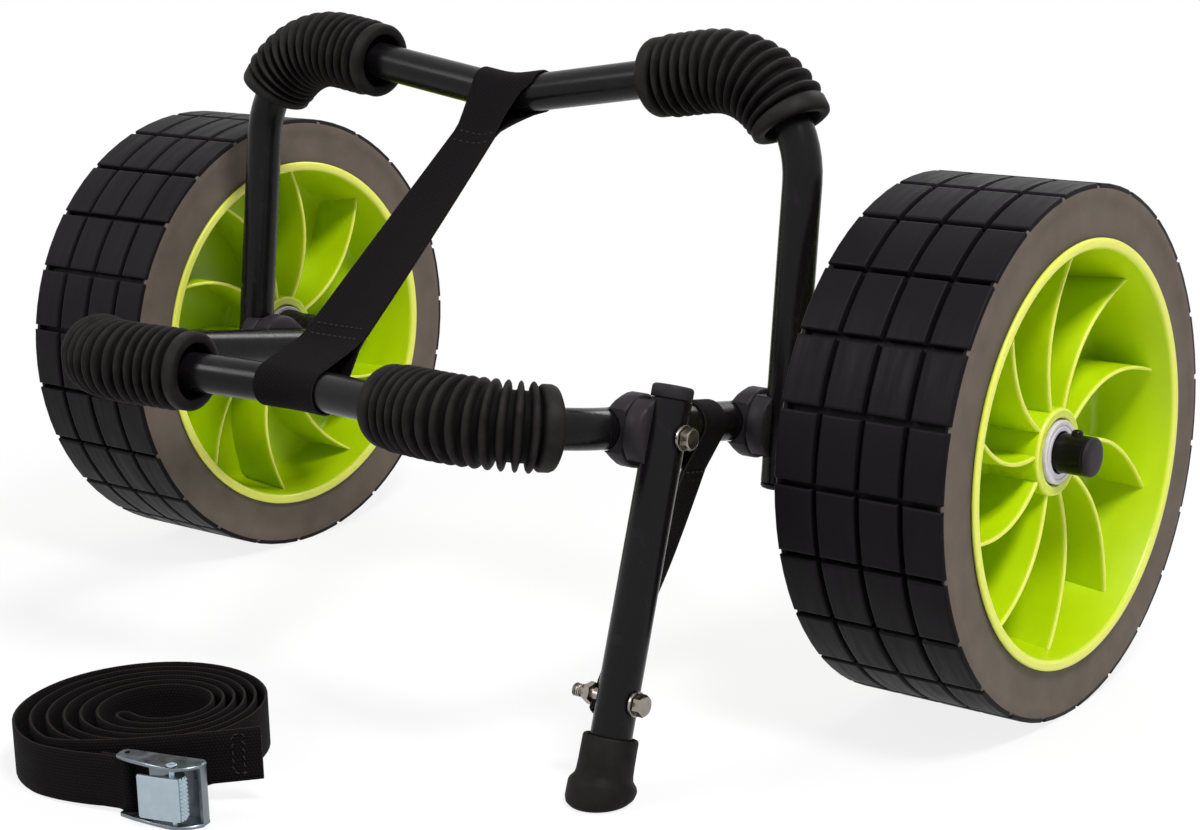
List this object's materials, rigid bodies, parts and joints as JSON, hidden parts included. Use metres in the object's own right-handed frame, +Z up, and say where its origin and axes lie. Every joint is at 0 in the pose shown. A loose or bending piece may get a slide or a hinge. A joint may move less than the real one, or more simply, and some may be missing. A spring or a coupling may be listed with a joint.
{
  "type": "paddleboard cart",
  "caption": "Wheeled folding cart for moving a paddleboard: crossed bent-tube frames with ribbed grips, moulded wheels, a kickstand and a rolled cam-buckle strap.",
  "frame": {"origin": "on the ground under the middle of the cart, without its loose strap", "axes": "+X to the cart's right along the axle, +Z up, -Y to the front where the kickstand stands"},
  "size_m": [0.6146, 0.4805, 0.3237],
  "materials": {
    "steel": "black powder coat, satin",
    "plastic": "black moulded plastic, fine grain",
    "rubber": "black moulded rubber, matt",
    "tyre": "solid foam rubber, matt",
    "rim": "lime green moulded plastic, satin",
    "bush": "pale grey nylon",
    "zinc": "bright zinc plate",
    "webbing": "woven black webbing"
  },
  "bodies": {
    "front_frame": {"front_frame_tube": "steel", "front_grip_left": "rubber", "front_grip_right": "rubber", "fold_saddle_left_inner": "plastic", "fold_saddle_right_inner": "plastic", "kickstand_saddle_inner": "plastic", "axle_plug_left": "plastic", "axle_plug_right": "plastic", "axle_spacer_left": "plastic", "axle_spacer_right": "plastic", "button_spring_left": "zinc", "button_spring_right": "zinc", "fold_left_bolt": "zinc", "fold_left_nut": "zinc", "fold_left_washer": "zinc", "fold_right_bolt": "zinc", "fold_right_nut": "zinc", "fold_right_washer": "zinc", "kick_pivot_bolt": "zinc", "kick_pivot_nut": "zinc", "kick_pivot_washer": "zinc", "spreader_strap": "webbing", "limiter_strap": "webbing", "tie_down_tape": "webbing", "cam_buckle_frame": "zinc", "cam_buckle_pin": "zinc", "cam_buckle_bar": "zinc"},
    "rear_frame": {"rear_frame_tube": "steel", "rear_grip_left": "rubber", "rear_grip_right": "rubber", "rear_leg_plug_left": "plastic", "rear_leg_plug_right": "plastic", "fold_saddle_left_outer": "plastic", "fold_saddle_right_outer": "plastic"},
    "kickstand": {"kickstand_tube": "steel", "kickstand_cap": "plastic", "kickstand_foot": "rubber", "kickstand_saddle_outer": "plastic", "kick_cross_bolt": "zinc", "kick_cross_nut": "zinc", "kick_cross_washer": "zinc"},
    "left_wheel": {"left_wheel_tyre": "tyre", "left_wheel_rim": "rim", "left_wheel_bush_left": "bush", "left_wheel_bush_right": "bush"},
    "right_wheel": {"right_wheel_tyre": "tyre", "right_wheel_rim": "rim", "right_wheel_bush_left": "bush", "right_wheel_bush_right": "bush"},
    "left_button": {"snap_button_left": "zinc"},
    "right_button": {"snap_button_right": "zinc"},
    "cam_lever": {"cam_buckle_lever": "zinc"}
  },
  "joints": [
    {"name": "fold", "type": "hinge", "parent": "front_frame", "child": "rear_frame", "pos_m": [0, -0.00783, 0.13886], "axis": [1, 0, 0], "range_deg": [0, 64], "deforming": ["spreader_strap"]},
    {"name": "kickstand_fold", "type": "hinge", "parent": "front_frame", "child": "kickstand", "pos_m": [0.179, -0.10257, 0.15557], "axis": [1, 0, 0], "range_deg": [0, 70], "deforming": ["limiter_strap"]},
    {"name": "left_wheel_spin", "type": "hinge", "parent": "front_frame", "child": "left_wheel", "pos_m": [-0.2561, 0.05943, 0.127], "axis": [1, 0, 0], "continuous": true},
    {"name": "right_wheel_spin", "type": "hinge", "parent": "front_frame", "child": "right_wheel", "pos_m": [0.2561, 0.05943, 0.127], "axis": [1, 0, 0], "continuous": true},
    {"name": "left_button_press", "type": "slide", "parent": "front_frame", "child": "left_button", "axis": [0, -0.1736, -0.9848], "range_m": [0, 0.0022], "stiffness_N_per_m": 2000, "deforming": ["button_spring_left"]},
    {"name": "right_button_press", "type": "slide", "parent": "front_frame", "child": "right_button", "axis": [0, -0.1736, -0.9848], "range_m": [0, 0.0022], "stiffness_N_per_m": 2000, "deforming": ["button_spring_right"]},
    {"name": "cam_lever_press", "type": "hinge", "parent": "front_frame", "child": "cam_lever", "pos_m": [0.0456, -0.28437, 0.0144], "axis": [0, 0, 1], "range_deg": [-25, 0], "stiffness_Nm_per_rad": 0.2}
  ]
}
